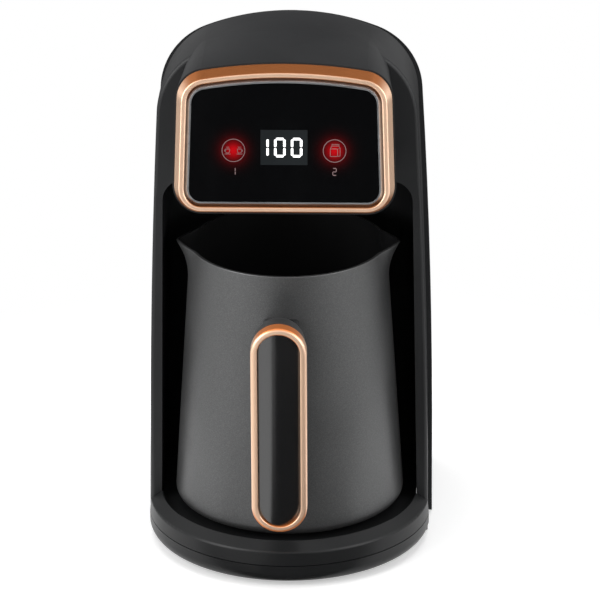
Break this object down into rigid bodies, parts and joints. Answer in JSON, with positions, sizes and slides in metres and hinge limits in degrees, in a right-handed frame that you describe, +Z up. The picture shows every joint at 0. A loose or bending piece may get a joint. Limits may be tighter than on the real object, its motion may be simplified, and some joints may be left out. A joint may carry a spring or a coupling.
{
  "type": "electric turkish coffee maker",
  "caption": "Arched electric coffee maker with a leaning touch panel over a heated recess, and a lift-out pot with pouring lips and an upright handle.",
  "frame": {"origin": "on the floor, under the middle of the whole object", "axes": "+Z up, +Y towards the back, +X to the right as the user sees it, the user on the -Y side"},
  "size_m": [0.1316, 0.165, 0.2423],
  "materials": {
    "shell_black": "gloss",
    "rear_black": "satin",
    "base_black": "satin",
    "inner_black": "matte",
    "rose_gold": "polished",
    "gunmetal": "satin",
    "panel_glass": "gloss",
    "print_grey": "matte",
    "window_grey": "satin",
    "digit_white": "lit",
    "red_light": "lit",
    "board_green": "satin",
    "component_black": "matte",
    "component_blue": "satin",
    "component_yellow": "satin",
    "terminal_green": "satin",
    "spring_steel": "satin",
    "screw_steel": "satin",
    "plate_metal": "cast",
    "element_steel": "satin",
    "shield_steel": "satin",
    "seal_rubber": "matte",
    "foot_rubber": "matte",
    "pot_steel": "satin",
    "handle_black": "gloss",
    "wire_insulation": "matte",
    "lens_dark": "gloss",
    "sensor_metal": "satin"
  },
  "bodies": {
    "machine": {"front_shell": "shell_black", "rear_shell": "rear_black", "shell_screws": "screw_steel", "cord_gland": "component_black", "gland_nut": "component_black", "sensor_cover": "inner_black", "boil_sensor_lens": "lens_dark", "boil_sensor_board": "board_green", "trim_ring": "rose_gold", "bezel": "gunmetal", "display_glass": "panel_glass", "panel_print": "print_grey", "display_module": "window_grey", "display_digits": "digit_white", "display_board": "board_green", "board_screws": "screw_steel", "indicator_lights": "red_light", "key_springs": "spring_steel", "buzzer": "component_black", "base_top": "base_black", "base_pan": "base_black", "base_screws": "screw_steel", "feet": "foot_rubber", "heating_plate": "plate_metal", "heating_element": "element_steel", "plate_seal": "seal_rubber", "heat_shield": "shield_steel", "shield_screws": "screw_steel", "thermal_fuse": "sensor_metal", "sensor_spring": "spring_steel", "power_board": "board_green", "relay": "component_blue", "transformer": "component_yellow", "capacitor": "component_black", "terminal_block": "terminal_green", "power_board_screws": "screw_steel", "heater_wires": "wire_insulation", "display_cable": "wire_insulation"},
    "pot": {"pot_vessel": "pot_steel", "pot_base_ring": "inner_black", "handle_body": "handle_black", "handle_ring": "rose_gold", "handle_insert": "handle_black", "handle_bracket": "screw_steel", "handle_neck": "handle_black", "handle_screw": "screw_steel"},
    "plate_sensor": {"sensor_cap": "sensor_metal"}
  },
  "joints": [
    {"name": "pot_lift_out", "type": "slide", "parent": "machine", "child": "pot", "axis": [0, -0.9563, 0.2924], "range_m": [0, 0.125]},
    {"name": "sensor_travel", "type": "slide", "parent": "machine", "child": "plate_sensor", "axis": [0, 0, 1], "range_m": [-0.0015, 0], "stiffness_N_per_m": 300, "springref_m": 0.002, "deforming": ["sensor_spring"]}
  ]
}
